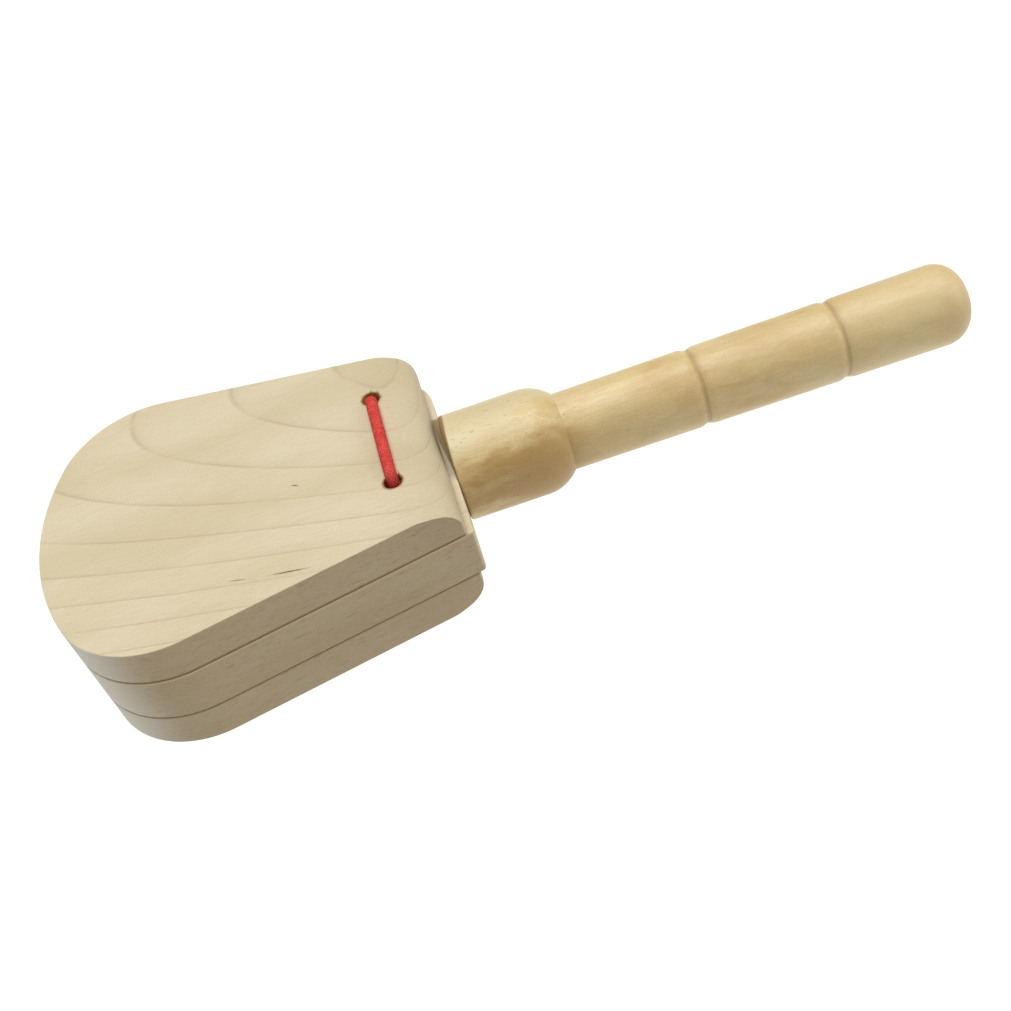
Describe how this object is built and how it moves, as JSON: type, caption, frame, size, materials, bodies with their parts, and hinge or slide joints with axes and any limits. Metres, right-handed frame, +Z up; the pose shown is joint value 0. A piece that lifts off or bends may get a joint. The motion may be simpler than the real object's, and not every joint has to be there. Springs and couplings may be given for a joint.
{
  "type": "handle castanet",
  "caption": "Wooden handle castanet: clappers rock on a middle board at the end of a turned grip and are held by a red elastic cord.",
  "frame": {"origin": "centre of the bounding box's base: below the middle of the whole length, on the plane that the bottom clapper rests on", "axes": "+X along the handle towards its rounded end, +Z up through the top clapper, +Y across"},
  "size_m": [0.2238, 0.0822, 0.0346],
  "materials": {
    "board_wood": "bare sanded maple",
    "handle_wood": "turned and lightly waxed, yellower than the boards",
    "elastic_cord": "woven red sheath over elastic"
  },
  "bodies": {
    "handle_and_board": {"middle_board": "board_wood", "handle": "handle_wood", "elastic_cord_middle": "elastic_cord"},
    "top_clapper": {"top_clapper": "board_wood", "elastic_cord_top": "elastic_cord"},
    "bottom_clapper": {"bottom_clapper": "board_wood", "elastic_cord_bottom": "elastic_cord"}
  },
  "joints": [
    {"name": "top_clapper_rock", "type": "hinge", "parent": "handle_and_board", "child": "top_clapper", "pos_m": [-0.0185, 0, 0.0236], "axis": [0, 1, 0], "range_deg": [0, 12], "stiffness_Nm_per_rad": 0.2, "springref_deg": -8.59},
    {"name": "bottom_clapper_rock", "type": "hinge", "parent": "handle_and_board", "child": "bottom_clapper", "pos_m": [-0.0185, 0, 0.0085], "axis": [0, -1, 0], "range_deg": [0, 12], "stiffness_Nm_per_rad": 0.2, "springref_deg": -8.59}
  ]
}
